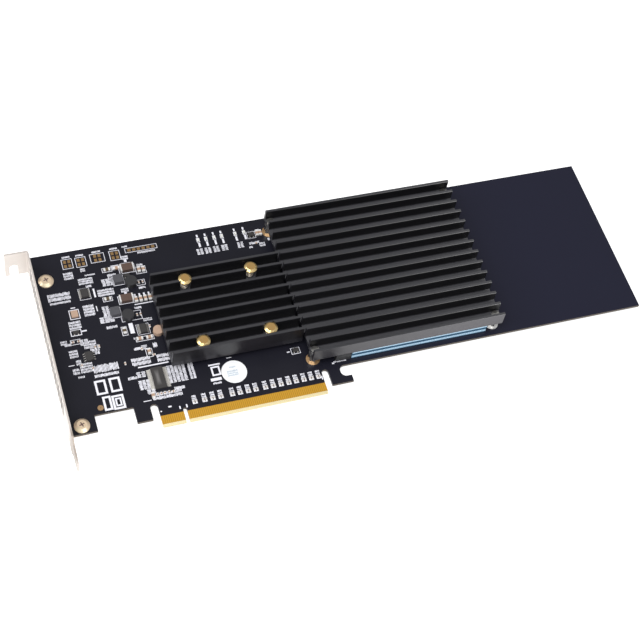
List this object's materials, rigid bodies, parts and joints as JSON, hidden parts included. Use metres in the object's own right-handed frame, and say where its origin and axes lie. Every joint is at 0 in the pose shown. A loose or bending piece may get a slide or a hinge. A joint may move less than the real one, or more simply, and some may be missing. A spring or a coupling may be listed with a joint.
{
  "type": "drive adapter card",
  "caption": "Full-length expansion card with a vented end bracket, a gilt edge connector and finned black heatsinks over a switch chip and drive bays.",
  "frame": {"origin": "middle of the key notch on the bottom edge of the edge connector, in the plane of the component face of the board", "axes": "+X along the card to its free end, +Y up from the edge connector to the card's top edge, +Z out of the component side"},
  "size_m": [0.3252, 0.1261, 0.0202],
  "materials": {
    "solder_mask": "dark solder mask, smooth",
    "gilt": "gold plated",
    "bracket_steel": "nickel plated",
    "screw_zinc": "yellow zinc plated",
    "black_anodised": "black anodised, satin",
    "turned_brass": "turned",
    "spring_steel": "drawn wire",
    "nickel": "nickel plated",
    "thermal_pad": "soft silicone sheet",
    "thermal_pad_grey": "soft silicone sheet",
    "socket_plastic": "moulded",
    "chip_plastic": "moulded epoxy",
    "chip_lid": "nickel plated copper",
    "substrate": "laminate",
    "tin": "tinned",
    "ferrite": "sintered",
    "ferrite_dark": "sintered",
    "tantalum": "moulded epoxy",
    "capacitor_ceramic": "sintered",
    "can_peach": "ceramic can",
    "diode_olive": "moulded epoxy",
    "lamp_clear": "moulded clear epoxy",
    "label_white": "printed label"
  },
  "bodies": {
    "root": {"printed_circuit_board": "solder_mask", "contacts_component_side": "gilt", "contacts_solder_side": "gilt", "bracket": "bracket_steel", "bracket_screws": "screw_zinc", "switch_heatsink": "black_anodised", "drive_heatsink": "black_anodised", "push_pins": "turned_brass", "push_pin_springs": "spring_steel", "heatsink_standoffs": "nickel", "heatsink_screws": "nickel", "drive_sockets": "socket_plastic", "drive_posts": "nickel", "lower_thermal_pads": "thermal_pad", "upper_thermal_pads": "thermal_pad", "switch_chip_substrate": "substrate", "switch_chip_lid": "chip_lid", "switch_thermal_pad": "thermal_pad_grey", "flash_chip": "chip_plastic", "flash_chip_leads": "tin", "controller_chips": "chip_plastic", "controller_chip_leads": "tin", "regulator_chips": "chip_plastic", "regulator_leads": "tin", "square_inductors": "ferrite", "round_inductors": "ferrite_dark", "tantalum_capacitors": "tantalum", "round_capacitor": "can_peach", "large_chip_capacitors": "capacitor_ceramic", "small_chip_capacitors": "capacitor_ceramic", "coupling_capacitors": "capacitor_ceramic", "diodes": "diode_olive", "oscillator": "can_peach", "status_lamps": "lamp_clear", "header_pads": "gilt", "header_row": "gilt", "rear_capacitors": "capacitor_ceramic", "round_label": "label_white"}
  },
  "joints": []
}
